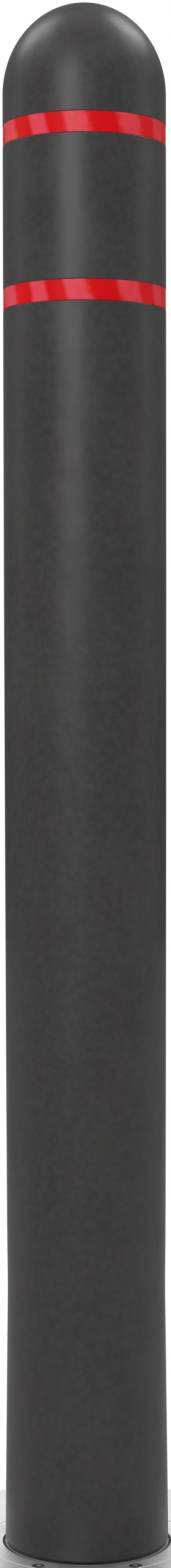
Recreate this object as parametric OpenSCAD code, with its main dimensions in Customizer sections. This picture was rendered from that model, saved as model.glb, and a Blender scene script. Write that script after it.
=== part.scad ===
// Retractable street bollard. A domed post with two reflective bands rises out of a
// housing that is cast into the ground. A gas spring lifts it, and a key-turned rack
// bolt locks it both up and down. Modelled raised and unlocked.
// Frame: +Z up, origin on the post's axis at ground level, lock at the back (+Y).

/* [Post cover] */
// Outside diameter of the straight part of the moulded cover
body_d = 110; // [100:1:134]
// Height of the cover from the ground to its crown, which is also the lift
cover_h = 1042; // [860:1:1260]
// Height of the domed head
dome_h = 61; // [50:1:74]
// Wall of the cover at its straight part
cover_wall = 4; // [3.3:0.1:4.8]
// How far the cover draws in at its waist
waist_in = 1.4; // [0:0.1:1.8]
// Height of the waist above the rim
waist_z = 178; // [140:1:220]
// How far the rim flares out past the straight part
flare_out = 0.8; // [0:0.1:1.5]
// Height where the taper to the waist begins
taper_top = 650; // [500:1:720]
// Radius that rounds the rim's outer edge
rim_round = 3; // [1:0.1:3.5]

/* [Reflective bands] */
// Width of each band
tape_w = 13.6; // [10:0.1:20]
// Thickness of the band
tape_t = 0.35; // [0.2:0.05:0.4]
// Depth of the groove that the band lies in
groove_d = 0.5; // [0.45:0.05:0.8]
// Gap along the post between a band and each edge of its groove
groove_gap = 0.3; // [0.1:0.1:1]
// Distance from one band to the next, edge to same edge
tape_pitch = 109.2; // [60:0.1:160]
// Land of plain cover between the lock ferrule and the upper groove
tape_land = 3.2; // [2:0.1:10]

/* [Post structure] */
// Wall of the steel post tube
tube_wall = 5; // [4:0.1:6]
// Radial gap between the tube and the cover
tube_fit = 0.2; // [0.1:0.1:0.5]
// Length of the bearing that runs in the housing
bearing_len = 60; // [40:1:90]
// Thickness of the plate under the post
foot_t = 8; // [6:0.5:12]
// Thickness of the plate that the gas spring lifts
top_plate_t = 8; // [6:0.5:12]
// Running gap between the foot bearing and the housing
slide_gap = 0.35; // [0.2:0.05:0.6]
// Gap left at the end stops
stop_gap = 0.3; // [0.3:0.1:1]

/* [Housing] */
// Wall of the housing tube
housing_wall = 5; // [4:0.1:6.3]
// Radial thickness of the guide bush
bush_wall = 8.65; // [7:0.05:12]
// Length of the guide bush
bush_len = 100; // [95:1:130]
// Radial gap between the bush and the widest part of the cover
run_gap = 0.4; // [0.3:0.05:1]
// Thickness of the ground flange
flange_t = 12; // [10:0.5:16]
// Collar outside its screws
collar_land = 5; // [3:0.5:10]
// Thickness of the collar
collar_t = 12; // [8:0.5:16]
// Least land between the collar and the anchor holes
anchor_land = 8; // [6:0.5:20]
// Diameter of the anchor holes
anchor_d = 13; // [9:0.5:15]
// Flange beyond the anchor circle
flange_edge = 27.5; // [20:0.5:40]
// Half width of the flange's tongue over the lock
tongue_half = 45; // [42:1:60]
// Width of the rail that keeps the post from turning
rail_w = 12; // [8:1:20]
// Gap between the rail and the widest part of the cover
rail_gap = 2; // [1.5:0.1:3]
// Side of the square base plate
base_side = 240; // [210:1:300]
// Thickness of the base plate
base_t = 8; // [6:0.5:12]
// Height of the rubber buffers
buffer_h = 20; // [16:1:30]
// Outside diameter of the drain spigot
drain_d = 42.4; // [32:0.1:50]
// Straight length of the drain spigot
drain_len = 50; // [40:1:80]
// Depths below ground of the two rows of concrete anchors
key_depths = [380, 900];

/* [Lock] */
// Radius of the round nose of the bolt
bolt_r = 6.5; // [5:0.1:7]
// Distance from the housing to the lock's turning axis
lock_offset = 34; // [32:0.5:42]
// Module of the rack and pinion
gear_m = 2; // [2:0.1:2.2]
// Teeth on the pinion
pinion_teeth = 8; // [8:1:9]
// Pressure angle of the rack and pinion
gear_angle = 28; // [27:1:29]
// Radius of the lock plug
plug_r = 10; // [9:0.1:10.5]
// Running gap of shafts, plugs and the bolt
turn_gap = 0.1; // [0.05:0.05:0.2]
// Thickness of the key cover
flap_t = 4; // [3:0.1:4.8]
// Width of the key cover
flap_w = 42; // [38:1:46]
// Gap round the key cover
flap_gap = 0.4; // [0.3:0.1:0.8]

/* [Gas spring] */
// Outside diameter of the gas spring's barrel
barrel_d = 28; // [22:1:34]
// Diameter of the rod
rod_d = 14; // [10:1:16]

/* [Hidden] */
$fn = 96;
e = 1; // overrun of a cut past the face that it opens

// Fasteners: shank radius, head radius and length
M8 = [4, 8, 22];
M6 = [3, 6, 24];
M5 = [2.5, 4.6, 10];

// Post, from the outside in
body_r = body_d / 2;
rim_r = body_r + flare_out;
bore_r = body_r - cover_wall;
tube_r = bore_r - tube_fit;
tube_ri = tube_r - tube_wall;
dome_z = cover_h - dome_h;
dome_steps = 18;
rise = cover_h;

// Lock bolt and the ferrule that lines its upper hole
ferrule_wall = 1.2;
ferrule_ri = bolt_r + 0.8;
ferrule_r = ferrule_ri + ferrule_wall;
ferrule_land = 0.5;
lock_depth = dome_h + ferrule_r + ferrule_land;
lock_z = -lock_depth;
lockdown_z = lock_z + rise;
upper_top = lockdown_z - ferrule_r - tape_land - groove_gap;
lower_top = upper_top - tape_pitch;

// Guide bush and housing, each seated in the next
bush_ri = rim_r + run_gap;
bush_r = bush_ri + bush_wall;
housing_ri = bush_r;
housing_r = housing_ri + housing_wall;
rail_r = rim_r + rail_gap;
rail_back = sqrt(pow(housing_ri, 2) - pow(rail_w / 2, 2)) - 0.05; // edges meet the bore
bush_z = -flange_t - bush_len;

// Wiper and retaining ring, let into the flange
lip_gap = 0.3;
flange_bore_r = bush_ri + 1.3;
seal_r = flange_bore_r + 3;
seal_t = 4;
ring_t = 5;
ring_r = flange_bore_r + 12.5;
ring_screw_circle_r = (seal_r + ring_r) / 2 - 0.65;

// Flange, held by screws into the collar and by anchors outside it
screw_circle_r = max(ring_r + slide_gap + 0.65 + M8[1], housing_r + M8[0] + 4);
collar_r = screw_circle_r + M8[0] + collar_land;
anchor_pcd = 5 * ceil(2 * (collar_r + anchor_land + anchor_d / 2) / 5);
flange_r = anchor_pcd / 2 + flange_edge;

// Foot of the post
bearing_top = bush_z - stop_gap;
bearing_z = bearing_top - bearing_len;
foot_z = bearing_z - foot_t;
foot_r = housing_ri - 3 * slide_gap;
bearing_r = housing_ri - slide_gap;
foot_screw_circle_r = (tube_r + bearing_r) / 2;

// Bottom of the housing
base_top = foot_z - rise - stop_gap - buffer_h;
base_z = base_top - base_t;
buffer_r = 10;
buffer_circle_r = tube_r - 1;
drain_wall = 3.2;
drain_bed = 7;
drain_z = base_top + drain_bed + drain_d / 2;
drain_x = housing_r + 10;

// Gas spring: the rod travels with the post, and the barrel stands on the base
barrel_r = barrel_d / 2;
barrel_ri = barrel_r - 2.5;
rod_r = rod_d / 2;
plate_drop = 12;
plate_top = upper_top - tape_w / 2 - plate_drop;
plate_z = plate_top - top_plate_t;
gland_t = 12;
barrel_gap = 12;
barrel_top = plate_z - rise - barrel_gap;
cup_wall = 4;
cup_floor = 12;
cup_h = 24;
barrel_z = base_top + cup_floor;
barrel_end = 12;
piston_t = 8;
piston_z = barrel_top - gland_t - 38;
stud_r = 5;
nut_t = 8;

// Rack and pinion: the bolt lies along Y and the pinion stands beside it
pitch_r = gear_m * pinion_teeth / 2;
addendum = 0.8 * gear_m;
dedendum = 1.0 * gear_m;
flank_gap = 0.1;
rack_pitch = PI * gear_m;
bolt_h = 2 * bolt_r;
rack_root_x = 3;
rack_line_x = rack_root_x + dedendum;
lock_x = rack_line_x + pitch_r;
lock_y = housing_r + lock_offset;
bolt_travel = PI * pitch_r / 2;
rack_teeth = 6;
rack_lead = 1.5 * rack_pitch; // from the first tooth's centre to the pinion's axis
rack_end = 1.6;
tip_y = bush_ri + 0.8;
bolt_body_y = lock_y - rack_lead - rack_pitch / 4 - rack_end;
bolt_end_y = lock_y - rack_lead + (rack_teeth - 0.75) * rack_pitch + rack_end;
sleeve_r = bolt_r + 3;
sleeve_end_y = bolt_body_y - bolt_travel - 1;

// Lock case and the plate over the gears
case_wall = 4;
case_x0 = -bolt_r - 3 * turn_gap;
case_x1 = lock_x + 20;
case_y1 = bolt_end_y + 14;
gear_plate_t = 3;
gear_plate_z = lock_z + bolt_h / 2 + 2 * turn_gap;
case_z = lock_z - bolt_h / 2 - 20;
shaft_r = 4.5;
post_r = 4;
gear_screw_r = 2;
gear_posts = [
    [case_x1 - post_r, lock_y - 14],
    [case_x1 - post_r, case_y1 - post_r],
    [0, case_y1 - post_r]
];

// Lock barrel, plug and key cover
barrel_wall = 5;
lock_r = plug_r + turn_gap + barrel_wall;
head_r = lock_r + 2;
head_t = 3;
face_z = -flap_t - 0.5;
lock_barrel_z = gear_plate_z + gear_plate_t + 9;
plug_z = lock_barrel_z - 2;
flap_front_y = lock_y - 19;
hinge_y = lock_y + 22;
hinge_pin_r = 1.5;
tongue_y = hinge_y + flap_t + 24;

// A ring or tube about Z between two heights
module ring(r, ri, z0, z1) {
    translate([0, 0, z0]) difference() {
        cylinder(h = z1 - z0, r = r);
        translate([0, 0, -e]) cylinder(h = z1 - z0 + 2 * e, r = ri);
    }
}

module disc(r, z0, z1) {
    translate([0, 0, z0]) cylinder(h = z1 - z0, r = r);
}

// A round bar along +Y at height z
module bar_y(r, y0, y1, z) {
    translate([0, y0, z]) rotate([-90, 0, 0]) cylinder(h = y1 - y0, r = r);
}

module box(x, y, z) {
    translate([x[0], y[0], z[0]]) cube([x[1] - x[0], y[1] - y[0], z[1] - z[0]]);
}

// Copies of the children on a circle, the first at angle a0
module on_circle(r, n, a0 = 0) {
    for (i = [0 : n - 1]) rotate(a0 + i * 360 / n) translate([r, 0, 0]) children();
}

// Countersunk screw that points down from z = 0, with a hexagon socket
module countersunk(size) {
    head_h = size[1] - size[0];
    difference() {
        union() {
            translate([0, 0, -size[2]]) cylinder(h = size[2], r = size[0]);
            translate([0, 0, -head_h]) cylinder(h = head_h, r1 = size[0], r2 = size[1]);
        }
        translate([0, 0, -0.75 * head_h]) cylinder(h = head_h, r = 0.62 * size[0], $fn = 6);
    }
}

// The hole that this screw fills
module countersunk_hole(size) {
    head_h = size[1] - size[0];
    translate([0, 0, -size[2]]) cylinder(h = size[2], r = size[0]);
    translate([0, 0, -head_h]) cylinder(h = head_h, r1 = size[0], r2 = size[1]);
}

// Outer radius of the cover at height z, below the dome and outside the grooves
function skin_r(z) =
    z >= taper_top ? body_r :
    z >= waist_z ? body_r - waist_in * (taper_top - z) / (taper_top - waist_z) :
    body_r - waist_in + (waist_in + flare_out) * (waist_z - z) / waist_z;

function dome_points(r, h, z) =
    [for (i = [0 : dome_steps]) let (a = 90 * i / dome_steps) [r * cos(a), z + h * sin(a)]];

function groove_points(top) = [
    [body_r, top - tape_w - groove_gap],
    [body_r - groove_d, top - tape_w - groove_gap],
    [body_r - groove_d, top + groove_gap],
    [body_r, top + groove_gap]
];

function reversed(list) = [for (i = [len(list) - 1 : -1 : 0]) list[i]];

// ---- Post ----

module post_cover() color([0.24, 0.24, 0.24]) {
    rim = [for (a = [0 : 22.5 : 90])
        [skin_r(rim_round) - rim_round * (1 - sin(a)), rim_round * (1 - cos(a))]];
    outer = concat(
        rim, [[skin_r(waist_z), waist_z], [skin_r(taper_top), taper_top]],
        groove_points(lower_top), groove_points(upper_top),
        dome_points(body_r, dome_h, dome_z)
    );
    inner = concat([[bore_r, 0]], dome_points(bore_r, dome_h - cover_wall, dome_z));
    difference() {
        rotate_extrude() polygon(concat(outer, reversed(inner)));
        bar_y(ferrule_r, 0, body_r + e, lockdown_z);
    }
}

module band(top) {
    ring(body_r - groove_d + tape_t, body_r - groove_d, top - tape_w, top);
}

module upper_band() color([0.8, 0.06, 0.07]) band(upper_top);

module lower_band() color([0.8, 0.06, 0.07]) band(lower_top);

// Steel lining of the hole that the bolt enters when the post is down
module lock_ferrule() color("silver") intersection() {
    difference() {
        bar_y(ferrule_r, tube_ri, body_r + e, lockdown_z);
        bar_y(ferrule_ri, 0, body_r + 2 * e, lockdown_z);
    }
    disc(body_r - 0.1, lockdown_z - 2 * ferrule_r, lockdown_z + 2 * ferrule_r);
}

tube_top = lockdown_z + ferrule_r + 2;

// Ribbed cap on the tube that carries the dome
module dome_support() color([0.15, 0.15, 0.16]) {
    plate_t = 4;
    rib_t = 4;
    rib_gap = 0.6;
    vent_r = 12;
    difference() {
        union() {
            disc(tube_r - rib_gap, tube_top, tube_top + plate_t);
            intersection() {
                rotate_extrude() polygon(concat(
                    [[0, dome_z]],
                    dome_points(bore_r - rib_gap, dome_h - cover_wall - 2 * rib_gap, dome_z)
                ));
                for (a = [0, 90]) rotate(a)
                    box([-body_r, body_r], [-rib_t / 2, rib_t / 2],
                        [tube_top + plate_t / 2, cover_h]);
            }
        }
        disc(vent_r, tube_top - e, tube_top + dome_h / 2);
    }
}

module post_tube() color("gray") difference() {
    ring(tube_r, tube_ri, bearing_z, tube_top);
    bar_y(ferrule_ri, 0, tube_r + e, lock_z);
    bar_y(ferrule_r, 0, tube_r + e, lockdown_z);
}

module top_plate() color("gray") difference() {
    disc(tube_ri, plate_z, plate_top);
    disc(stud_r, plate_z - e, plate_top + e);
}

module rod_nut() color("silver") difference() {
    translate([0, 0, plate_top]) cylinder(h = nut_t, r = 9.8, $fn = 6);
    disc(stud_r, plate_top - e, plate_top + nut_t + e);
}

module gas_rod() color("gainsboro") {
    disc(rod_r, piston_z + piston_t, plate_z);
    disc(stud_r, plate_z - e, plate_top + nut_t + 3);
}

module gas_piston() color("dimgray")
    disc(barrel_ri - turn_gap, piston_z, piston_z + piston_t);

// Steel ring under the cover's rim, which the raised post locks by
module lock_collar() color("gray") difference() {
    ring(rim_r, tube_r, bearing_top, 0);
    bar_y(ferrule_ri, 0, rim_r + e, lock_z);
}

module foot_bearing() color("ivory") difference() {
    ring(bearing_r, tube_r, bearing_z, bearing_top);
    rail_slot();
    foot_screw_places() cylinder(h = M6[2], r = M6[0]);
}

// Slot in the foot that runs on the rail
module rail_slot()
    box([-housing_ri - e, slide_gap - rail_r], [-1, 1] * (rail_w / 2 + slide_gap),
        [foot_z - e, bearing_top + e]);

module foot_screw_places()
    translate([0, 0, foot_z]) on_circle(foot_screw_circle_r, 4, 45) children();

module foot_plate() color("gray") difference() {
    ring(foot_r, barrel_r + 6, foot_z, bearing_z);
    rail_slot();
    foot_screw_places() mirror([0, 0, 1]) countersunk_hole(M6);
}

module foot_screws() color("silver") foot_screw_places()
    mirror([0, 0, 1]) countersunk(M6);

// ---- Housing ----

module housing_tube() color("lightgray") difference() {
    ring(housing_r, housing_ri, base_top, -flange_t);
    bar_y(sleeve_r, 0, housing_r + e, lock_z);
    translate([0, 0, drain_z]) rotate([0, 90, 0])
        cylinder(h = housing_r + e, r = drain_d / 2 - drain_wall);
    bush_screw_places() cylinder(h = housing_r, r = M6[0]);
}

// Ring welded round the top of the tube, cut away for the lock case
module housing_collar() color("lightgray") difference() {
    ring(collar_r, housing_r, -flange_t - collar_t, -flange_t);
    box([case_x0 - case_wall, case_x1 + case_wall], [0, 2 * collar_r], [-99, 0]);
    flange_screw_places() translate([0, 0, -M8[2]]) cylinder(h = M8[2], r = M8[0]);
}

module base_plate() color("lightgray") difference() {
    box([-base_side / 2, base_side / 2], [-base_side / 2, base_side / 2], [base_z, base_top]);
    translate([0, 0, base_z - e]) on_circle(buffer_circle_r - 18, 4, 45)
        cylinder(h = base_t + 2 * e, r = 6);
    buffer_places() translate([0, 0, -6]) cylinder(h = 6, r = M5[0]);
}

// Bent bars welded to the tube that key it into the concrete
module concrete_keys() color("lightgray") {
    bar_w = 30;
    bar_t = 5;
    reach = 55;
    for (d = key_depths) translate([0, 0, -d]) rotate(45) on_circle(0, 4) difference() {
        union() {
            box([housing_ri, housing_r + reach], [-bar_w / 2, bar_w / 2], [0, bar_t]);
            box([housing_r + reach - bar_t, housing_r + reach], [-bar_w / 2, bar_w / 2],
                [bar_t, bar_w]);
        }
        disc(housing_r, -e, bar_w + e);
    }
}

module drain_spigot() color("lightgray") difference() {
    translate([0, 0, drain_z]) rotate([0, 90, 0]) difference() {
        union() {
            cylinder(h = drain_x + drain_len, r = drain_d / 2);
            cylinder(h = drain_x, r = drain_d / 2 + 5);
        }
        cylinder(h = drain_x + drain_len + e, r = drain_d / 2 - drain_wall);
    }
    disc(housing_r, base_top - drain_d, drain_z + drain_d);
}

module buffer_places()
    translate([0, 0, base_top]) on_circle(buffer_circle_r, 3, 90) children();

module buffers() color([0.1, 0.1, 0.1]) buffer_places() difference() {
    cylinder(h = buffer_h, r = buffer_r);
    translate([0, 0, buffer_h / 2]) cylinder(h = buffer_h, r = 6);
    cylinder(h = buffer_h, r = M5[0]);
}

module buffer_screws() color("silver") buffer_places() {
    translate([0, 0, -6]) cylinder(h = 6 + buffer_h / 2, r = M5[0]);
    translate([0, 0, buffer_h / 2]) cylinder(h = 5, r = M5[1] - 0.2);
}

module spring_cup() color("gray") difference() {
    disc(barrel_r + cup_wall, base_top, base_top + cup_h);
    disc(barrel_r, barrel_z, base_top + cup_h + e);
    spring_pin_bar(0);
}

// Cross pin that holds the barrel in its cup
module spring_pin_bar(past)
    translate([-barrel_r - cup_wall - past, 0, barrel_z + barrel_end / 2])
        rotate([0, 90, 0]) cylinder(h = 2 * (barrel_r + cup_wall + past), r = 3);

module spring_pin() color("silver") spring_pin_bar(1);

module gas_barrel() color([0.12, 0.12, 0.13]) difference() {
    disc(barrel_r, barrel_z, barrel_top);
    disc(barrel_ri, barrel_z + barrel_end, barrel_top + e);
    spring_pin_bar(0);
}

module gas_gland() color("goldenrod")
    ring(barrel_ri, rod_r + turn_gap, barrel_top - gland_t, barrel_top);

// Rail inside the housing, on the left of the post
module guide_rail() color("lightgray")
    box([-rail_back, -rail_r], [-1, 1] * rail_w / 2, [base_top, bush_z]);

module guide_bush() color("ivory") difference() {
    ring(bush_r, bush_ri, bush_z, -flange_t);
    bar_y(bolt_r + 3 * turn_gap, 0, bush_r + e, lock_z);
    bush_screw_places() cylinder(h = housing_r, r = M6[0]);
}

// Radial places about Z, with +Z of each child pointing outwards
module bush_screw_places()
    translate([0, 0, bush_z + 22]) for (a = [30, 150, 270])
        rotate([0, 90, a]) translate([0, 0, bush_ri + 3]) children();

module bush_screws() color("silver") bush_screw_places()
    difference() {
        cylinder(h = housing_r - bush_ri - 4, r = M6[0]);
        translate([0, 0, housing_r - bush_ri - 7]) cylinder(h = 4, r = 1.7, $fn = 6);
    }

module flange_blank() {
    corner_r = 10;
    disc(flange_r, -flange_t, 0);
    box([-tongue_half, tongue_half], [0, tongue_y - corner_r], [-flange_t, 0]);
    box([corner_r - tongue_half, tongue_half - corner_r], [0, tongue_y], [-flange_t, 0]);
    for (s = [-1, 1]) translate([s * (tongue_half - corner_r), tongue_y - corner_r, 0])
        disc(corner_r, -flange_t, 0);
}

module flange_screw_places() on_circle(screw_circle_r, 5, 54) children();

module ring_screw_places() on_circle(ring_screw_circle_r, 6) children();

module anchor_places() on_circle(anchor_pcd / 2, 4, 45) children();

// Pocket for the key cover, its knuckle and a finger notch
module flap_pocket() {
    half = flap_w / 2 + flap_gap;
    box([lock_x - half, lock_x + half], [flap_front_y - flap_gap, hinge_y + flap_t + flap_gap],
        [-flap_t, e]);
    box([lock_x - half, lock_x + half],
        [hinge_y - flap_t - flap_gap, hinge_y + flap_t + flap_gap],
        [-2 * flap_t - flap_gap, e]);
    translate([lock_x, flap_front_y, 0]) disc(7, -flap_t, e);
}

module flap_pin_bar(r)
    translate([lock_x - flap_w / 2 - 4, hinge_y, -flap_t]) rotate([0, 90, 0])
        cylinder(h = flap_w + 8, r = r);

module ground_flange() color([0.82, 0.83, 0.84]) difference() {
    flange_blank();
    disc(flange_bore_r, -flange_t - e, e);
    disc(seal_r, -ring_t - seal_t, e);
    disc(ring_r + slide_gap, -ring_t, e);
    anchor_places() disc(anchor_d / 2, -flange_t - e, e);
    flange_screw_places() countersunk_hole(M8);
    ring_screw_places() countersunk_hole(M5);
    flap_pocket();
    flap_pin_bar(hinge_pin_r);
    translate([lock_x, lock_y, 0]) {
        disc(lock_r, -flange_t - e, 0);
        disc(head_r, face_z - head_t, 0);
    }
}

module flange_screws() color("silver") flange_screw_places() countersunk(M8);

// Rubber wiper with a lip that follows the post
module wiper_seal() color([0.08, 0.08, 0.08]) {
    lip_r = rim_r + lip_gap;
    seat_z = -ring_t - seal_t;
    rotate_extrude() polygon([
        [lip_r + 0.3, seat_z], [seal_r, seat_z], [seal_r, -ring_t],
        [flange_bore_r - 0.2, -ring_t], [flange_bore_r - 0.2, -1.2], [lip_r, -0.5]
    ]);
}

module retaining_ring() color([0.86, 0.87, 0.88]) difference() {
    ring(ring_r, flange_bore_r, -ring_t, 0);
    ring_screw_places() countersunk_hole(M5);
}

module ring_screws() color("silver") ring_screw_places() countersunk(M5);

// ---- Lock ----

// Open-topped box welded to the housing, with bosses and a rail for the bolt
module lock_case() color("lightgray") difference() {
    union() {
        difference() {
            box([case_x0 - case_wall, case_x1 + case_wall], [0, case_y1 + case_wall],
                [case_z - case_wall, -flange_t]);
            box([case_x0, case_x1], [-e, case_y1], [case_z, 0]);
        }
        for (p = gear_posts) translate([p[0], p[1], 0]) disc(post_r, case_z, gear_plate_z);
        box([case_x0, rack_root_x - 1], [0, bolt_end_y], [case_z, lock_z - bolt_r - turn_gap]);
    }
    disc(housing_r, case_z - case_wall - e, e);
    bar_y(sleeve_r, 0, sleeve_end_y, lock_z);
    translate([lock_x, lock_y, 0]) disc(shaft_r + turn_gap, case_z - case_wall - e, case_z + e);
    gear_screw_places() disc(gear_screw_r, -10, 0);
}

module gear_screw_places()
    for (p = gear_posts) translate([p[0], p[1], gear_plate_z + gear_plate_t]) children();

module gear_screws() color("silver") gear_screw_places() {
    disc(gear_screw_r, -10, 0);
    difference() {
        disc(3.5, 0, 3);
        translate([0, 0, 1]) cylinder(h = 3, r = 1.6, $fn = 6);
    }
}

// Tube through the housing wall that the bolt slides in
module bolt_sleeve() color("peru") difference() {
    bar_y(sleeve_r, 0, sleeve_end_y, lock_z);
    bar_y(bolt_r + turn_gap, -e, sleeve_end_y + e, lock_z);
    disc(bush_r, lock_z - 2 * bolt_h, lock_z + 2 * bolt_h);
}

module gear_plate() color("lightgray") difference() {
    box([case_x0 + 0.2, case_x1 - 0.2], [sleeve_end_y + 1, case_y1 - 0.2],
        [gear_plate_z, gear_plate_z + gear_plate_t]);
    translate([lock_x, lock_y, gear_plate_z]) disc(shaft_r + turn_gap, -e, gear_plate_t + e);
    gear_screw_places() disc(gear_screw_r, -10, e);
}

module lock_barrel() color("goldenrod") translate([lock_x, lock_y, 0]) {
    ring(lock_r, plug_r + turn_gap, lock_barrel_z, face_z);
    ring(head_r, lock_r, face_z - head_t, face_z);
}

module barrel_nut() color("silver") translate([lock_x, lock_y, -flange_t]) difference() {
    rotate(22.5) translate([0, 0, -6]) cylinder(h = 6, r = lock_r + 4, $fn = 8);
    disc(lock_r, -6 - e, e);
}

module flap_pin() color("silver") flap_pin_bar(hinge_pin_r);

// Plug with a slot for a flat key
module lock_plug() color("gold") translate([lock_x, lock_y, 0]) difference() {
    disc(plug_r, plug_z, face_z - 0.3);
    box([-1.2, 1.2], [-4.5, 4.5], [face_z - 18, 0]);
}

module drive_shaft() color("silver") translate([lock_x, lock_y, 0])
    disc(shaft_r, case_z - case_wall + 1, plug_z);

function involute(a) = tan(a) - a * PI / 180;

// Half angle of a pinion tooth at radius r, in degrees
function tooth_half(r) =
    90 / pinion_teeth - flank_gap / pitch_r * 180 / PI
    + (involute(gear_angle) - involute(acos(min(1, pitch_r * cos(gear_angle) / r)))) * 180 / PI;

module pinion_outline() {
    base_r = pitch_r * cos(gear_angle);
    tip_r = pitch_r + addendum;
    root_r = pitch_r - dedendum;
    steps = 6;
    flank = [for (i = [0 : steps]) base_r + (tip_r - base_r) * i / steps];
    circle(r = root_r + 0.05);
    for (k = [0 : pinion_teeth - 1]) rotate(180 + k * 360 / pinion_teeth)
        polygon(concat(
            [[root_r * cos(tooth_half(base_r)), -root_r * sin(tooth_half(base_r))]],
            [for (r = flank) [r * cos(tooth_half(r)), -r * sin(tooth_half(r))]],
            [for (r = reversed(flank)) [r * cos(tooth_half(r)), r * sin(tooth_half(r))]],
            [[root_r * cos(tooth_half(base_r)), root_r * sin(tooth_half(base_r))]],
            [[0, 0]]
        ));
}

module pinion() color("silver") translate([lock_x, lock_y, lock_z - bolt_r + 0.5])
    linear_extrude(bolt_h - 1) difference() {
        pinion_outline();
        circle(r = shaft_r);
    }

// Teeth of the rack, with a space facing the pinion's axis at rest
module rack_outline() {
    half_pitch_w = rack_pitch / 4 - flank_gap;
    tip_w = half_pitch_w - addendum * tan(gear_angle);
    root_w = half_pitch_w + dedendum * tan(gear_angle);
    for (k = [0 : rack_teeth - 1])
        translate([rack_root_x, lock_y - rack_lead + k * rack_pitch])
        polygon([
            [-e, -root_w], [0, -root_w], [dedendum + addendum, -tip_w],
            [dedendum + addendum, tip_w], [0, root_w], [-e, root_w]
        ]);
}

module latch_bolt() color("silver") {
    bar_y(bolt_r, tip_y, bolt_body_y + e, lock_z);
    box([-bolt_r, rack_root_x], [bolt_body_y, bolt_end_y], [lock_z - bolt_r, lock_z + bolt_r]);
    translate([0, 0, lock_z - bolt_r]) linear_extrude(bolt_h) rack_outline();
}

module key_flap() color([0.84, 0.85, 0.86]) difference() {
    union() {
        box([lock_x - flap_w / 2, lock_x + flap_w / 2], [flap_front_y, hinge_y], [-flap_t, 0]);
        translate([lock_x - flap_w / 2, hinge_y, -flap_t]) rotate([0, 90, 0])
            cylinder(h = flap_w, r = flap_t);
    }
    flap_pin_bar(hinge_pin_r + turn_gap);
}

post_cover();
upper_band();
lower_band();
lock_ferrule();
dome_support();
post_tube();
top_plate();
rod_nut();
gas_rod();
gas_piston();
lock_collar();
foot_bearing();
foot_plate();
foot_screws();
housing_tube();
housing_collar();
base_plate();
concrete_keys();
drain_spigot();
buffers();
buffer_screws();
spring_cup();
spring_pin();
gas_barrel();
gas_gland();
guide_rail();
guide_bush();
bush_screws();
ground_flange();
flange_screws();
wiper_seal();
retaining_ring();
ring_screws();
lock_case();
bolt_sleeve();
gear_plate();
gear_screws();
lock_barrel();
barrel_nut();
flap_pin();
lock_plug();
drive_shaft();
pinion();
latch_bolt();
key_flap();
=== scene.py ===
"""Retractable street bollard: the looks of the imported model.

The camera and the studio come first, then the finishes, then the pieces. Pieces are modelled
in metres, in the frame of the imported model: +Z up, ground level at z = 0, the lock at +Y.
"""
import math

import bpy
from mathutils import Matrix, Vector


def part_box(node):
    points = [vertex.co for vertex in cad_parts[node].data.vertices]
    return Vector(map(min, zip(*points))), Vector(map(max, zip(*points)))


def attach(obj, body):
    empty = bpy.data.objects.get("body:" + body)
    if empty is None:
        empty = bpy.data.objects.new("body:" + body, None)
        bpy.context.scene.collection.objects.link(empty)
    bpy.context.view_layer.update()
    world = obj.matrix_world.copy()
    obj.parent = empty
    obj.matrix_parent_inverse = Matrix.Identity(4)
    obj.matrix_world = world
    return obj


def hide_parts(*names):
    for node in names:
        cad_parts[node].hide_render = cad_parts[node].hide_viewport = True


MM = 0.001

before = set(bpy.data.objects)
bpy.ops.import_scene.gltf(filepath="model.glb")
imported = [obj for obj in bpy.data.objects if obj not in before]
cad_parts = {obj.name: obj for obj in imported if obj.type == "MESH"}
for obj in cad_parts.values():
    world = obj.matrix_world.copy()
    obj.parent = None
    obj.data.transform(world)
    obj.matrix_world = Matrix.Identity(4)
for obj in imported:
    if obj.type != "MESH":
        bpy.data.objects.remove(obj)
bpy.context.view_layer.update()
bpy.ops.object.select_all(action="DESELECT")


# ---- Places taken from the frame ----

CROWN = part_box("post_cover")[1].z
RIM_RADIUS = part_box("post_cover")[1].x
BAND_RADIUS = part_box("upper_band")[1].x
HOUSING_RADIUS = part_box("housing_tube")[1].x
HOUSING_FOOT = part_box("base_plate")[1].z
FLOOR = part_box("base_plate")[0].z
BAND_MIDDLE = (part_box("upper_band")[0].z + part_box("upper_band")[1].z) / 2
BAND_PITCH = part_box("upper_band")[0].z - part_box("lower_band")[0].z


# ---- Sizes that the frame's boxes don't give ----

BAND_RECESS = 0.15 * MM  # how far the bands lie under the cover's skin
BODY_RADIUS = BAND_RADIUS + BAND_RECESS
COVER_WALL = 4 * MM
GROOVE_DEPTH = 0.5 * MM
KEY_WIDTH = 30 * MM
KEY_THICKNESS = 5 * MM
RIPPLE_PITCH = 2.4 * MM  # from one ripple of a weld to the next
RIPPLE_PINCH = 0.86  # a bead's radius between two ripples, as a share of its full radius
FLOOR_RADIUS = 3.4
FLOOR_FADE = (0.35, 0.97)  # where the floor starts and ends to fade, as shares of its radius


# ---- Camera and studio ----

CAMERA_DISTANCE = 1.835  # in front of the post's axis
CAMERA_HEIGHT = 0.582  # above ground level
CAMERA_PITCH = 2.0  # degrees down
CAMERA_ROLL = -0.11  # degrees
CAMERA_LENS = 62.1  # millimetres


def add_camera():
    """Looks at the post from the front, level with its middle and a little down."""
    camera = bpy.data.objects.new("camera", bpy.data.cameras.new("camera"))
    bpy.context.scene.collection.objects.link(camera)
    camera.data.lens = CAMERA_LENS
    camera.data.clip_start = 0.05
    camera.data.clip_end = 200
    turn = Matrix.Rotation(math.radians(90 - CAMERA_PITCH), 4, "X")
    roll = Matrix.Rotation(math.radians(CAMERA_ROLL), 4, "Z")
    camera.matrix_world = Matrix.Translation((0, -CAMERA_DISTANCE, CAMERA_HEIGHT)) @ turn @ roll
    bpy.context.scene.camera = camera


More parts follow.
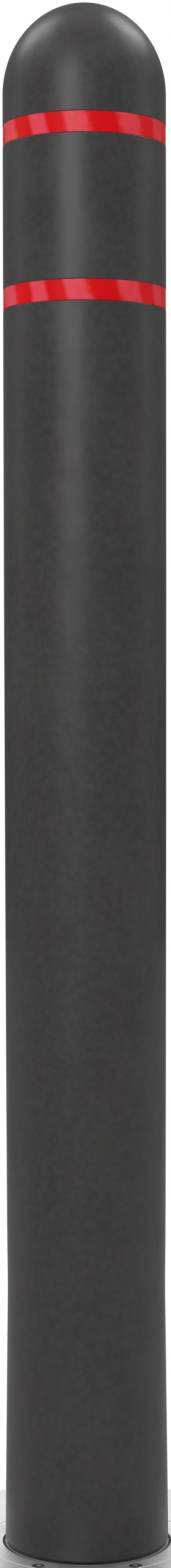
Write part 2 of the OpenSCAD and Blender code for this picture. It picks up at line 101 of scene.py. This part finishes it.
def add_softbox(name, azimuth, elevation, distance, aim, size, power):
    """A rectangular lamp that faces the post's axis at the height aim, and isn't seen itself.

    With no aim it faces straight down. Azimuth is in degrees from the front towards +X,
    elevation in degrees from ground level, and size is the lamp's width and height."""
    data = bpy.data.lights.new(name, "AREA")
    data.shape = "RECTANGLE"
    data.size, data.size_y = size
    data.energy = power
    lamp = bpy.data.objects.new(name, data)
    bpy.context.scene.collection.objects.link(lamp)
    turn, rise = math.radians(azimuth), math.radians(elevation)
    away = Vector((
        math.sin(turn) * math.cos(rise), -math.cos(turn) * math.cos(rise), math.sin(rise),
    ))
    if aim is None:
        lamp.matrix_world = Matrix.Translation(away * distance)
    else:
        facing = (-away).to_track_quat("-Z", "Y").to_matrix().to_4x4()
        lamp.matrix_world = Matrix.Translation(away * distance + Vector((0, 0, aim))) @ facing
    lamp.visible_camera = False


# ---- Shader arithmetic ----


class Value:
    """A number or colour socket that Python arithmetic can be written on."""

    def __init__(self, finish, socket):
        self.finish = finish
        self.socket = socket

    def calc(self, operation, *others, first=None):
        """A Math node on this value, or on first and then this value."""
        terms = ((self,) if first is None else (first, self)) + others
        return self.finish.node("Math", {"operation": operation}, dict(enumerate(terms)))

    def __add__(self, other):
        return self.calc("ADD", other)

    def __radd__(self, other):
        return self.calc("ADD", other)

    def __sub__(self, other):
        return self.calc("SUBTRACT", other)

    def __rsub__(self, other):
        return self.calc("SUBTRACT", first=other)

    def __mul__(self, other):
        return self.calc("MULTIPLY", other)

    def __rmul__(self, other):
        return self.calc("MULTIPLY", other)

    def __pow__(self, other):
        return self.calc("POWER", other)

    def between(self, low, high):
        """0 below low, 1 above high and a smooth rise from one to the other."""
        return self.finish.node(
            "MapRange", {"interpolation_type": "SMOOTHSTEP"},
            {"Value": self, "From Min": low, "From Max": high},
        )


class Finish:
    """One procedural material on the piece's own object coordinates."""

    def __init__(self, name, tree=None):
        if tree is None:
            self.material = bpy.data.materials.new(name)
            self.material.use_nodes = True
            tree = self.material.node_tree
            self.shader = tree.nodes["Principled BSDF"]
        self.tree = tree

    def node(self, kind, settings=None, inputs=None, output=0):
        """Any node: its kind, its settings, which are set first, then its sockets' values."""
        made = self.tree.nodes.new("ShaderNode" + kind)
        for key, value in (settings or {}).items():
            setattr(made, key, value)
        for key, value in (inputs or {}).items():
            self.feed(made.inputs[key], value)
        return Value(self, made.outputs[output])

    def feed(self, socket, value):
        """Links a value to the socket, or sets a plain number or colour on it."""
        if isinstance(value, Value):
            self.tree.links.new(value.socket, socket)
        elif hasattr(socket.default_value, "__len__") and len(socket.default_value) == 4:
            socket.default_value = (*value, 1)
        else:
            socket.default_value = value

    def set(self, **sockets):
        """Feeds the shader: Base_Color=..., Roughness=..."""
        for name, value in sockets.items():
            self.feed(self.shader.inputs[name.replace("_", " ")], value)

    def place(self, centre=(0, 0, 0), scale=(1, 1, 1)):
        """The point being shaded, in metres from centre, stretched by scale."""
        here = self.node("TexCoord", output="Object")
        moved = {"Location": centre, "Scale": scale}
        return self.node("Mapping", {"vector_type": "TEXTURE"}, {"Vector": here, **moved})

    def xyz(self, point):
        """The three parts of a point or a colour, as numbers."""
        return [self.node("SeparateXYZ", None, {0: point}, output=axis) for axis in "XYZ"]

    def noise(self, point, size, detail=2.0, rough=0.5, distortion=0.0):
        """Cloudy values from 0 to 1 whose blotches are about size across."""
        return self.node("TexNoise", None, {
            "Vector": point, "Scale": 1 / size, "Detail": detail, "Roughness": rough,
            "Distortion": distortion,
        })

    def cells(self, point, size, output="Distance", feature="F1"):
        """A honeycomb of uneven cells about size across."""
        return self.node(
            "TexVoronoi", {"feature": feature}, {"Vector": point, "Scale": 1 / size},
            output=output,
        )

    def mix(self, share, low, high):
        """A colour that goes from low to high as share goes from 0 to 1."""
        return self.node(
            "Mix", {"data_type": "RGBA"}, {"Factor": share, 6: low, 7: high}, output=2
        )

    def bump(self, height, depth, under=None):
        """Relief of height from 0 to 1, depth metres deep, over another relief."""
        inputs = {"Height": height, "Distance": depth}
        if under is not None:
            inputs["Normal"] = under
        return self.node("Bump", None, inputs)


# ---- Finishes ----


def moulded_plastic():
    """Charcoal polyethylene from a rotary mould: semi-gloss, faintly cloudy, fine grain."""
    finish = Finish("moulded_plastic")
    here = finish.place()
    tall = finish.place(scale=(1, 1, 1.8))
    cloud = finish.noise(tall, 34 * MM, detail=4.0, rough=0.6).between(0.25, 0.75)
    tint = finish.noise(tall, 26 * MM, detail=2.0, distortion=0.6).between(0.3, 0.7)
    grain = finish.noise(here, 0.9 * MM, detail=2.0)
    speckle = finish.noise(here, 5 * MM, detail=3.0, rough=0.7).between(0.35, 0.65)
    ripple = finish.noise(tall, 34 * MM, detail=2.0)
    scuff = finish.noise(finish.place(scale=(1, 1, 7)), 5 * MM, detail=4.0).between(0.62, 0.75)
    shade = 0.5 * cloud + 0.5 * speckle
    dark = finish.mix(tint, (0.0158, 0.0178, 0.0156), (0.0184, 0.0152, 0.0172))
    light = finish.mix(tint, (0.0310, 0.0338, 0.0302), (0.0352, 0.0296, 0.0330))
    finish.set(
        Base_Color=finish.mix(shade, dark, light),
        Roughness=0.37 + 0.07 * shade + 0.05 * scuff,
        IOR=1.5,
        Normal=finish.bump(grain, 0.02 * MM, under=finish.bump(ripple, 1.6 * MM)),
    )
    return finish.material


def reflective_sheet():
    """Red retro-reflective sheeting: deep red foil with painted sheen, pale facets turn by turn
    round the band, strongest towards the left front.
    """
    finish = Finish("reflective_sheet")
    facets = 11
    facet_start = math.radians(47.4)
    bunch_start = math.radians(28)
    sheen_side = math.radians(34)
    thread_pitch = 1.3 * MM
    x, y, z = finish.xyz(finish.place())
    ahead = x.calc("ARCTAN2", 0 - y)
    # The facets lean so that the upper band's are one facet on from the lower band's
    turn = ahead + (z - BAND_MIDDLE) * (2 * math.pi / facets / BAND_PITCH)
    # They bunch up and spread out four times a turn
    uneven = (ahead * 4 + bunch_start).calc("COSINE") * 0.72 + 0.69
    # Painted sheen: pale facets stand for the sheeting catching the light; they are not a colour of
    # the foil
    wave = 0.5 - 0.5 * ((turn + facet_start) * facets + uneven).calc("COSINE")
    # Painted highlight: the painted sheen is strongest towards the left front and weakest at the
    # back right
    sheen_level = (ahead + sheen_side).calc("COSINE") * 0.42 + 0.62
    flat = finish.node("CombineXYZ", None, {"X": ahead * BAND_RADIUS, "Y": z, "Z": 0.0})
    blotch = finish.noise(flat, 2.2 * MM, detail=3.0)
    cloud = finish.noise(flat, 7 * MM, detail=1.0)
    threads = (z * (2 * math.pi / thread_pitch)).calc("SINE") * 0.5 + 0.5
    # How much painted sheen each point gets, from its facet, the blotches, the clouds and the
    # threads
    painted_sheen = (wave + 0.25 * (blotch - 0.5) + 0.3 * (cloud - 0.5)).between(0.3, 0.8)
    painted_sheen = painted_sheen * sheen_level * (0.7 + 0.6 * cloud) * (0.85 + 0.15 * threads)
    cell = finish.cells(flat, 1.6 * MM, feature="DISTANCE_TO_EDGE")
    finish.set(
        # Deep red foil, lifted to pale red where the painted sheen lies
        Base_Color=finish.mix(painted_sheen, (0.64, 0.0010, 0.004), (0.73, 0.062, 0.086)),
        Roughness=0.32 + 0.1 * blotch,
        Specular_IOR_Level=0.12,
        Normal=finish.bump(cell.between(0.0, 0.14), 0.03 * MM),
    )
    return finish.material


def satin_steel():
    """Blasted stainless plate: fine even grain, a few handling marks and dull patches."""
    finish = Finish("satin_steel")
    here = finish.place()
    blast = finish.noise(here, 0.45 * MM, detail=3.0, rough=0.7)
    stain = finish.noise(here, 38 * MM, detail=4.0).between(0.35, 0.75)
    scratch = finish.noise(finish.place(scale=(1, 14, 14)), 1.6 * MM, detail=3.0)
    scratch = scratch.between(0.66, 0.74)
    finish.set(
        Base_Color=finish.mix(0.3 * blast + 0.5 * stain, (0.68, 0.68, 0.685), (0.50, 0.50, 0.50)),
        Metallic=0.95 - 0.15 * stain,
        Roughness=0.42 + 0.12 * stain + 0.06 * blast - 0.1 * scratch,
        Normal=finish.bump(blast, 0.03 * MM),
    )
    return finish.material


def galvanised():
    """Hot-dip zinc: crystals that catch the light one by one, runs and a dull bloom."""
    finish = Finish("hot_dip_zinc")
    here = finish.place()
    warped = finish.node("VectorMath", {"operation": "MULTIPLY_ADD"}, {
        0: finish.node("TexNoise", None, {"Vector": here, "Scale": 90.0}, output="Color"),
        1: (3 * MM, 3 * MM, 3 * MM), 2: here,
    })
    tint = finish.xyz(finish.cells(warped, 6 * MM, output="Color"))[0]
    fine = finish.xyz(finish.cells(warped, 2.3 * MM, output="Color"))[1]
    run = finish.noise(finish.place(scale=(1, 1, 9)), 14 * MM, detail=4.0).between(0.35, 0.7)
    bloom = finish.noise(here, 90 * MM, detail=4.0).between(0.4, 0.75)
    pimple = finish.noise(here, 2.6 * MM, detail=2.0)
    shade = 0.3 * tint + 0.15 * fine + 0.3 * run + 0.25 * bloom
    finish.set(
        Base_Color=finish.mix(shade, (0.40, 0.42, 0.44), (0.60, 0.615, 0.63)),
        Metallic=0.85 - 0.35 * bloom,
        Roughness=0.36 + 0.2 * bloom + 0.1 * tint,
        Normal=finish.bump(pimple, 0.12 * MM, under=finish.bump(tint, 0.02 * MM)),
    )
    return finish.material


def weld_metal():
    """Zinc over a weld bead: duller than the plate, with soot in its ripples."""
    finish = Finish("weld_metal")
    here = finish.place()
    soot = finish.noise(here, 5 * MM, detail=4.0).between(0.35, 0.7)
    finish.set(
        Base_Color=finish.mix(soot, (0.44, 0.455, 0.47), (0.25, 0.26, 0.27)),
        Metallic=0.7,
        Roughness=0.42 + 0.2 * soot,
        Normal=finish.bump(finish.noise(here, 1.1 * MM, detail=3.0), 0.1 * MM),
    )
    return finish.material


def paint(name, color, worn, gloss, peel):
    """Sprayed paint with orange peel, thinner and paler in patches."""
    finish = Finish(name)
    here = finish.place()
    thin = finish.noise(here, 30 * MM, detail=5.0).between(0.4, 0.75)
    finish.set(
        Base_Color=finish.mix(thin, color, worn),
        Roughness=gloss + 0.12 * thin,
        Normal=finish.bump(finish.noise(here, peel), 0.04 * MM),
    )
    return finish.material


def plain_metal(name, color, stained, gloss, grain=0.4 * MM, metallic=1.0):
    """Machined metal with fine tool marks round Z and a little tarnish."""
    finish = Finish(name)
    here = finish.place()
    marks = finish.noise(finish.place(scale=(30, 30, 1)), grain, detail=2.0)
    tarnish = finish.noise(here, 12 * MM, detail=4.0).between(0.4, 0.75)
    finish.set(
        Base_Color=finish.mix(tarnish, color, stained),
        Metallic=metallic,
        Roughness=gloss + 0.12 * tarnish + 0.06 * marks,
        Normal=finish.bump(marks, 0.02 * MM),
    )
    return finish.material


def plain_plastic(name, color, shade, gloss, grain=0.7 * MM, depth=0.03 * MM):
    """Machined or moulded plastic, or rubber: soft clouds and a fine grain."""
    finish = Finish(name)
    here = finish.place()
    cloud = finish.noise(here, 25 * MM, detail=3.0).between(0.3, 0.7)
    finish.set(
        Base_Color=finish.mix(cloud, color, shade),
        Roughness=gloss + 0.1 * cloud,
        Normal=finish.bump(finish.noise(here, grain, detail=3.0), depth),
    )
    return finish.material


def studio_floor():
    """Pale and matt, and clear towards its rim, so that it ends without an edge."""
    finish = Finish("studio_floor")
    cloud = finish.noise(finish.place(), 1.5, detail=2.0)
    x, y, _ = finish.xyz(finish.place())
    reach = (x * x + y * y) ** 0.5
    fade_start, fade_end = FLOOR_FADE
    finish.set(
        Base_Color=finish.mix(cloud, (0.88, 0.88, 0.88), (0.91, 0.91, 0.91)),
        Roughness=0.75 + 0.1 * cloud,
        Alpha=1 - reach.between(fade_start * FLOOR_RADIUS, fade_end * FLOOR_RADIUS),
    )
    return finish.material


def studio_light():
    """White backdrop to the eye. As a light it is dimmer behind the object and along the
    skyline, and brighter underneath and in a belt high up at the front and sides."""
    world = bpy.data.worlds.new("studio")
    bpy.context.scene.world = world
    world.use_nodes = True
    sky = Finish("studio", world.node_tree)
    background = world.node_tree.nodes["Background"]
    toward = sky.node("TexCoord", output="Generated")
    _, y, z = sky.xyz(toward)
    behind = y.between(0.2, 0.75)
    under = (0 - z).between(0.08, 0.2)
    skyline = 1 - (z + 0.07).calc("ABSOLUTE").between(0.03, 0.14)
    belt = z.between(0.5, 0.66) * (1 - z.between(0.76, 0.92)) * (1 - y.between(0.1, 0.5))
    seen = sky.node("LightPath", output="Is Camera Ray")
    glow = 0.52 + 0.25 * under - 0.18 * skyline - 0.26 * behind + 0.6 * belt
    sky.feed(background.inputs["Color"], (1, 1, 1))
    sky.feed(background.inputs["Strength"], seen * 1.0 + (1 - seen) * glow)


# ---- Modelling by hand ----


def begin_piece():
    """Object mode with nothing selected, so that the next operator acts on its own piece."""
    if bpy.context.object and bpy.context.object.mode != "OBJECT":
        bpy.ops.object.mode_set(mode="OBJECT")
    bpy.ops.object.select_all(action="DESELECT")


def take(piece):
    """Selects one piece alone and makes it active."""
    begin_piece()
    piece.select_set(True)
    bpy.context.view_layer.objects.active = piece


def apply_modifiers(piece):
    """Applies all of a piece's modifiers, in their order."""
    take(piece)
    for modifier in list(piece.modifiers):
        bpy.ops.object.modifier_apply(modifier=modifier.name)


def finish_piece(piece, name, finish, body, replaced=(), sharp=35):
    """Names the piece, shades it, gives it its finish and ties it to its body."""
    take(piece)
    bpy.ops.object.transform_apply(location=True, rotation=True, scale=True)
    bpy.ops.object.shade_smooth_by_angle(angle=math.radians(sharp))
    even_shading(piece)
    piece.name = name
    piece.data.name = name
    piece.data.materials.clear()
    piece.data.materials.append(finish)
    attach(piece, body)
    if replaced:
        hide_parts(*replaced)
    return piece


def turned(outline, around=128, closed=False):
    """A turned shape: a circle, extruded and scaled from ring to ring of outline.

    Each ring is its radius and its height. A closed outline joins its last ring to its first.
    Otherwise a last ring of no radius closes the shape at a pole."""
    begin_piece()
    radius, height = outline[0]
    bpy.ops.mesh.primitive_circle_add(vertices=around, radius=radius, location=(0, 0, height))
    bpy.ops.object.transform_apply(location=True)
    bpy.ops.object.mode_set(mode="EDIT")
    bpy.ops.mesh.select_all(action="SELECT")
    for (last_radius, last_height), (radius, height) in zip(outline, outline[1:]):
        rise = {"value": (0, 0, height - last_height)}
        bpy.ops.mesh.extrude_region_move(TRANSFORM_OT_translate=rise)
        if radius == 0:
            bpy.ops.mesh.merge(type="CENTER")
        else:
            grow = radius / last_radius
            bpy.ops.transform.resize(value=(grow, grow, 1), center_override=(0, 0, height))
    if closed:
        bpy.ops.mesh.select_all(action="DESELECT")
        bpy.ops.mesh.select_non_manifold()
        bpy.ops.mesh.bridge_edge_loops()
    bpy.ops.mesh.select_all(action="SELECT")
    bpy.ops.mesh.normals_make_consistent(inside=False)
    bpy.ops.object.mode_set(mode="OBJECT")
    return bpy.context.object


def eased_copy(node, width, segments=2, sharp=35):
    """A copy of a CAD node with its doubles merged and its sharp edges rounded."""
    begin_piece()
    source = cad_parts[node]
    piece = bpy.data.objects.new(node + "_eased", source.data.copy())
    bpy.context.scene.collection.objects.link(piece)
    take(piece)
    bpy.ops.object.mode_set(mode="EDIT")
    bpy.ops.mesh.select_all(action="SELECT")
    bpy.ops.mesh.remove_doubles(threshold=0.002 * MM)
    bpy.ops.mesh.dissolve_limited(angle_limit=math.radians(0.4))
    bpy.ops.object.mode_set(mode="OBJECT")
    bevel = piece.modifiers.new("eased_edges", "BEVEL")
    bevel.width = width
    bevel.segments = segments
    bevel.limit_method = "ANGLE"
    bevel.angle_limit = math.radians(sharp)
    bevel.use_clamp_overlap = True
    apply_modifiers(piece)
    return piece


def even_shading(piece):
    """Lets the large flat faces set the shading, so that eased edges don't smear over them."""
    even = piece.modifiers.new("even_shading", "WEIGHTED_NORMAL")
    even.keep_sharp = True
    even.weight = 100
    apply_modifiers(piece)


def cover_outline():
    """Radius and height of the cover's outside, from its rim to its crown."""
    rim_round = 3 * MM
    waist_height = 178 * MM
    waist_radius = BODY_RADIUS - 1.3 * MM
    taper_top = 650 * MM
    taper_curve = 0.5  # under 1, so most of the swelling comes soon above the waist
    blend = 30 * MM
    dome_foot = CROWN - 61 * MM
    groove_floor = BODY_RADIUS - GROOVE_DEPTH
    groove_gap = 0.3 * MM
    edge = 0.25 * MM
    ring_gap = 12 * MM
    ring_count = 80
    ring_clearance = 6 * MM
    bands = [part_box(band) for band in ("lower_band", "upper_band")]

    def smooth(height, low, high):
        share = min(1, max(0, (height - low) / (high - low)))
        return share * share * (3 - 2 * share)

    def skin(height):
        share = min(1, max(0, height - waist_height) / (taper_top - waist_height))
        above = waist_radius + (BODY_RADIUS - waist_radius) * share ** taper_curve
        below = waist_radius + (RIM_RADIUS - waist_radius) * (waist_height - height) / waist_height
        return below + (above - below) * smooth(height, waist_height - blend, waist_height + blend)

    rim_radius = skin(rim_round)
    rim = [(
        rim_radius - rim_round * (1 - math.sin(math.radians(turn))),
        rim_round * (1 - math.cos(math.radians(turn))),
    ) for turn in range(0, 90, 15)]
    grooves = []
    for band_low, band_high in bands:
        low = band_low.z - groove_gap
        high = band_high.z + groove_gap
        grooves += [
            (BODY_RADIUS, low - 2 * edge), (BODY_RADIUS, low - edge),
            (BODY_RADIUS - 0.3 * edge, low), (groove_floor, low + edge),
            (groove_floor, high - edge), (BODY_RADIUS - 0.3 * edge, high),
            (BODY_RADIUS, high + edge), (BODY_RADIUS, high + 2 * edge),
        ]

    def is_clear(height):
        return height < dome_foot - ring_clearance and not any(
            low.z - ring_clearance < height < high.z + ring_clearance for low, high in bands
        )

    heights = [rim_round + step * ring_gap for step in range(ring_count)]
    rings = [(skin(height), height) for height in heights if is_clear(height)]
    wall = sorted(rings + grooves, key=lambda ring: ring[1])
    dome = [(
        BODY_RADIUS * math.cos(math.radians(turn)),
        dome_foot + (CROWN - dome_foot) * math.sin(math.radians(turn)),
    ) for turn in range(0, 90, 3)]
    return rim + wall + dome + [(0, CROWN)]


def drill_back(piece, radius, height):
    """Cuts a round hole through the back of a piece, along Y, from inside its hollow."""
    drill_start = 0.6 * BODY_RADIUS
    drill_length = 2 * BODY_RADIUS
    begin_piece()
    bpy.ops.mesh.primitive_cylinder_add(
        vertices=64, radius=radius, depth=drill_length,
        location=(0, drill_start + drill_length / 2, height), rotation=(math.pi / 2, 0, 0),
    )
    cutter = bpy.context.object
    bpy.ops.object.transform_apply(location=True, rotation=True)
    hole = piece.modifiers.new("hole", "BOOLEAN")
    hole.operation = "DIFFERENCE"
    hole.solver = "EXACT"
    hole.object = cutter
    apply_modifiers(piece)
    bpy.data.objects.remove(cutter)


def make_cover(finish):
    """The moulded skin: turned from rim to crown, given its wall, and drilled for the lock."""
    ferrule_gap = 0.05 * MM
    ferrule_low, ferrule_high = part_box("lock_ferrule")
    cover = turned(cover_outline(), around=160)
    wall = cover.modifiers.new("wall", "SOLIDIFY")
    wall.thickness = COVER_WALL - GROOVE_DEPTH  # the wall steps inwards behind the grooves
    wall.offset = -1
    apply_modifiers(cover)
    radius = (ferrule_high.z - ferrule_low.z) / 2
    drill_back(cover, radius + ferrule_gap, (ferrule_low.z + ferrule_high.z) / 2)
    return finish_piece(
        cover, "cover_skin", finish, "post", ["post_cover"], sharp=50
    )


def make_band(node, finish):
    """A strip of sheeting with rounded edges, lying in its groove."""
    thickness = 0.35 * MM
    edge = 0.12 * MM
    low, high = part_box(node)
    inner = BAND_RADIUS - thickness
    outline = [
        (inner, low.z), (BAND_RADIUS - edge, low.z), (BAND_RADIUS, low.z + edge),
        (BAND_RADIUS, low.z + 4 * edge), (BAND_RADIUS, high.z - 4 * edge),
        (BAND_RADIUS, high.z - edge), (BAND_RADIUS - edge, high.z), (inner, high.z),
    ]
    band = turned(outline, around=160, closed=True)
    return finish_piece(
        band, node + "_sheet", finish, "post", [node], sharp=60
    )


def begin_weld(bead, place, upright):
    """Edit mode on the first ring of a bead of weld, all selected.

    An upright ring faces along Y, for a bead that runs round Z. The other faces up."""
    begin_piece()
    tilt = math.pi / 2 if upright else 0
    bpy.ops.mesh.primitive_circle_add(
        vertices=10, radius=bead, location=place, rotation=(tilt, 0, 0)
    )
    bpy.ops.object.transform_apply(location=True, rotation=True)
    bpy.ops.object.mode_set(mode="EDIT")
    bpy.ops.mesh.select_all(action="SELECT")


def end_weld():
    """Merges the ripples of a bead, closes its ends and turns its faces outwards."""
    bpy.ops.mesh.select_all(action="SELECT")
    bpy.ops.mesh.remove_doubles(threshold=0.01 * MM)
    bpy.ops.mesh.fill_holes(sides=10)
    bpy.ops.mesh.select_all(action="SELECT")
    bpy.ops.mesh.normals_make_consistent(inside=False)
    bpy.ops.object.mode_set(mode="OBJECT")
    return bpy.context.object


def arc_weld(radius, height, bead, start, end):
    """A bead round Z from start to end, in degrees, with the ripples that its pool left."""
    begin_weld(bead, (radius, 0, height), True)
    length = math.radians(end - start)
    ripples = round(length * radius / RIPPLE_PITCH)
    axis = {"center": (0, 0, height), "axis": (0, 0, -1)}  # spin turns clockwise round its axis
    bpy.ops.mesh.spin(steps=1, angle=math.radians(start), **axis)
    bpy.ops.mesh.select_all(action="INVERT")
    bpy.ops.mesh.delete(type="VERT")
    bpy.ops.mesh.select_all(action="SELECT")
    for grow in (1 / RIPPLE_PINCH, RIPPLE_PINCH):
        bpy.ops.mesh.spin(steps=1, angle=length / ripples / 2, **axis)
        bpy.ops.transform.resize(value=(grow, grow, grow))
    bpy.ops.mesh.select_all(action="SELECT")
    copies = ripples if end - start == 360 else ripples - 1
    bpy.ops.mesh.spin(steps=copies, dupli=True, angle=length * copies / ripples, **axis)
    return end_weld()


def upright_weld(x, y, low, high, bead):
    """A bead that runs straight up from low to high."""
    begin_weld(bead, (x, y, low), False)
    ripples = round((high - low) / RIPPLE_PITCH)
    rise = (high - low) / ripples
    for grow in (1 / RIPPLE_PINCH, RIPPLE_PINCH):
        bpy.ops.mesh.extrude_region_move(TRANSFORM_OT_translate={"value": (0, 0, rise / 2)})
        bpy.ops.transform.resize(value=(grow, grow, 1))
    bpy.ops.object.mode_set(mode="OBJECT")
    row = bpy.context.object.modifiers.new("row", "ARRAY")
    row.count = ripples
    row.use_relative_offset = False
    row.use_constant_offset = True
    row.constant_offset_displace = (0, 0, rise)
    apply_modifiers(bpy.context.object)
    bpy.ops.object.mode_set(mode="EDIT")
    return end_weld()


def weld_the_housing(finish):
    """The beads that hold the collar, the foot, the keys and the lock case to the tube."""
    foot_bead = 2.8 * MM
    collar_bead = 2.4 * MM
    small_bead = 1.8 * MM
    skin = HOUSING_RADIUS + 0.4 * MM  # the middles of the beads lie just outside the tube
    off_plate = 0.2 * MM
    case_gap = 2 * MM
    case_low, case_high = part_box("lock_case")
    collar_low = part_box("housing_collar")[0].z
    right = math.degrees(math.acos((case_high.x + case_gap) / HOUSING_RADIUS))
    left = math.degrees(math.acos((case_low.x - case_gap) / HOUSING_RADIUS))
    beads = [
        ("foot_weld", arc_weld(skin, HOUSING_FOOT + 0.5 * MM, foot_bead, 0, 360)),
        ("collar_weld", arc_weld(skin, collar_low - 0.3 * MM, collar_bead, left, right + 360)),
        ("case_foot_weld", arc_weld(skin, case_low.z - off_plate, small_bead, right, left)),
    ]
    for name, x in (("case_left_weld", case_low.x), ("case_right_weld", case_high.x)):
        y = math.sqrt(HOUSING_RADIUS ** 2 - x ** 2)
        bead = upright_weld(x, y, case_low.z, collar_low - case_gap, small_bead)
        beads.append((name, bead))
    keys_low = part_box("concrete_keys")[0].z
    keys_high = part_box("concrete_keys")[1].z - KEY_WIDTH
    half = math.degrees(math.asin(KEY_WIDTH / 2 / HOUSING_RADIUS))
    for depth, height in (("low", keys_low), ("high", keys_high)):
        for side, edge in (("under", -off_plate), ("over", KEY_THICKNESS + off_plate)):
            for corner in range(4):
                middle = 45 + 90 * corner
                bead = arc_weld(skin, height + edge, small_bead, middle - half, middle + half)
                beads.append((f"{depth}_key_weld_{side}_{corner + 1}", bead))
    for name, bead in beads:
        finish_piece(bead, name, finish, "housing", sharp=60)


# ---- The camera and the studio ----

add_camera()
studio_light()
bpy.context.scene.view_settings.view_transform = "Standard"


# ---- The finishes ----

plastic = moulded_plastic()
sheet_red = reflective_sheet()
steel = satin_steel()
zinc = galvanised()
weld = weld_metal()
primer = paint("grey_primer", (0.20, 0.205, 0.21), (0.27, 0.27, 0.27), 0.5, 1.4 * MM)
enamel = paint("black_enamel", (0.012, 0.012, 0.013), (0.03, 0.03, 0.03), 0.25, 2 * MM)
bright_zinc = plain_metal("bright_zinc", (0.62, 0.62, 0.60), (0.48, 0.47, 0.42), 0.26)
turned_steel = plain_metal("turned_steel", (0.60, 0.60, 0.61), (0.48, 0.48, 0.48), 0.24)
chrome = plain_metal("hard_chrome", (0.78, 0.78, 0.80), (0.72, 0.72, 0.74), 0.06)
brass = plain_metal("turned_brass", (0.72, 0.50, 0.20), (0.50, 0.33, 0.13), 0.22)
bronze = plain_metal("sintered_bronze", (0.50, 0.30, 0.15), (0.36, 0.22, 0.12), 0.42)
nylon = plain_plastic("moulded_nylon", (0.018, 0.018, 0.019), (0.03, 0.03, 0.03), 0.45)
acetal = plain_plastic("natural_acetal", (0.80, 0.78, 0.71), (0.72, 0.69, 0.61), 0.38)
rubber = plain_plastic("moulded_rubber", (0.014, 0.014, 0.014), (0.03, 0.03, 0.029), 0.62, 0.5 * MM)


# ---- The pieces ----

make_cover(plastic)
make_band("upper_band", sheet_red)
make_band("lower_band", sheet_red)

# Node, its finish, its body, its slot and how far its edges are eased
EASED = [
    ("ground_flange", steel, "housing", "stainless", 0.8 * MM),
    ("retaining_ring", steel, "housing", "stainless", 0.4 * MM),
    ("key_flap", steel, "key_cover", "stainless", 0.5 * MM),
    ("lock_ferrule", steel, "post", "stainless", 0.25 * MM),
    ("lock_collar", steel, "post", "stainless", 0.5 * MM),
    ("wiper_seal", rubber, "housing", "rubber", 0.15 * MM),
    ("flange_screws", turned_steel, "housing", "screw_steel", 0.25 * MM),
    ("ring_screws", turned_steel, "housing", "screw_steel", 0.2 * MM),
    ("housing_tube", zinc, "housing", "galvanised", 0.5 * MM),
    ("housing_collar", zinc, "housing", "galvanised", 0.8 * MM),
    ("base_plate", zinc, "housing", "galvanised", 1.0 * MM),
    ("concrete_keys", zinc, "housing", "galvanised", 0.8 * MM),
    ("drain_spigot", zinc, "housing", "galvanised", 0.8 * MM),
    ("lock_case", zinc, "housing", "galvanised", 0.8 * MM),
]
for node, finish, body, slot, width in EASED:
    finish_piece(eased_copy(node, width), node + "_eased", finish, body, [node])

# CAD nodes whose shape stays, by finish
KEPT = {
    primer: ["post_tube", "top_plate", "foot_plate"],
    bright_zinc: [
        "rod_nut", "gas_piston", "foot_screws", "buffer_screws", "spring_pin", "bush_screws",
        "gear_screws",
    ],
    zinc: ["spring_cup", "gear_plate", "guide_rail"],
    chrome: ["gas_rod"],
    enamel: ["gas_barrel"],
    brass: ["gas_gland", "lock_barrel", "barrel_nut", "lock_plug"],
    bronze: ["bolt_sleeve"],
    turned_steel: ["latch_bolt", "drive_shaft", "pinion", "flap_pin"],
    nylon: ["dome_support"],
    acetal: ["foot_bearing", "guide_bush"],
    rubber: ["buffers"],
}
for finish, nodes in KEPT.items():
    for node in nodes:
        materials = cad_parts[node].data.materials
        materials.clear()
        materials.append(finish)

weld_the_housing(weld)

# Name, azimuth, elevation, distance, height of its aim, size and power
LAMPS = [
    ("key_strip", -19, 15, 2.0, 0.95, (0.95, 1.3), 14.5),
    ("left_strip", -102, 10, 1.6, 1.0, (0.35, 1.0), 0.75),
    ("right_strip", 92, 10, 1.6, 1.0, (0.45, 1.0), 1.1),
    ("dome_left", -120, 48, 1.7, 1.0, (0.45, 0.95), 8),
    ("dome_right", 124, 50, 1.7, 1.0, (0.45, 0.8), 10),
    ("low_ceiling", 180, 23.5, 1.04, None, (2.4, 1.5), 13),
    ("overhead", 0, 90, 4.0, 0.0, (2.5, 2.5), 4),
]
for lamp in LAMPS:
    add_softbox(*lamp)

begin_piece()
bpy.ops.mesh.primitive_circle_add(
    vertices=96, radius=FLOOR_RADIUS, fill_type="NGON", location=(0, 0, FLOOR)
)
floor = bpy.context.object
floor.name = "floor"
floor.data.materials.append(studio_floor())
